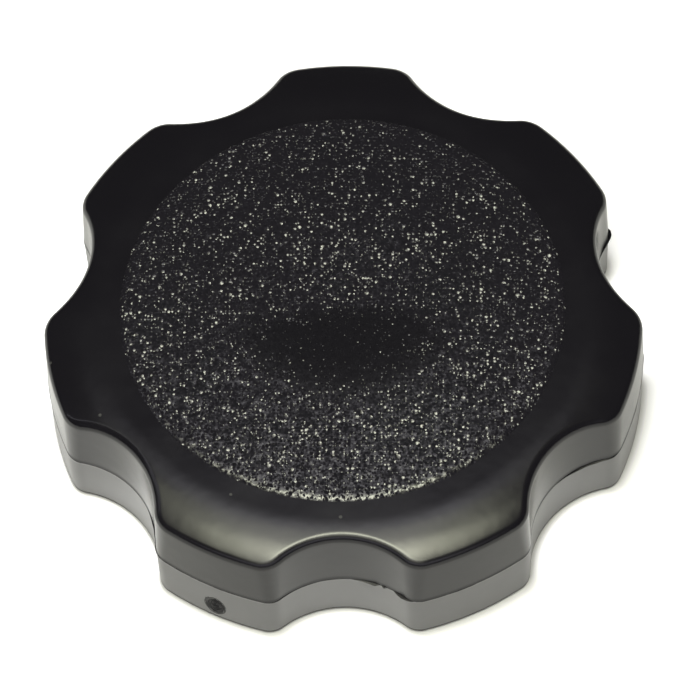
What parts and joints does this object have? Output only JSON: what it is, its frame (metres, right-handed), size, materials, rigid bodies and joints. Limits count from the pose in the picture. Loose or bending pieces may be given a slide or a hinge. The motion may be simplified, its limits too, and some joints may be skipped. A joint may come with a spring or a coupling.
{
  "type": "lobed clamping knob",
  "caption": "Flower-shaped hand knob with scalloped edge and raised grained disc; moulded plastic, hollow and ribbed underneath, round a threaded brass bush.",
  "frame": {"origin": "on the thread's axis, in the plane that the skirt, the hub and the bush's mouth stand on", "axes": "+Z along the thread's axis towards the grained disc; -Y through the middle of one scallop"},
  "size_m": [0.05, 0.0491, 0.0137],
  "materials": {
    "knob_plastic": "satin black, with a coarse sparkling grain on the raised disc",
    "bush_brass": "turned"
  },
  "bodies": {
    "root": {"lobed_knob": "knob_plastic", "threaded_bush": "bush_brass"}
  },
  "joints": []
}
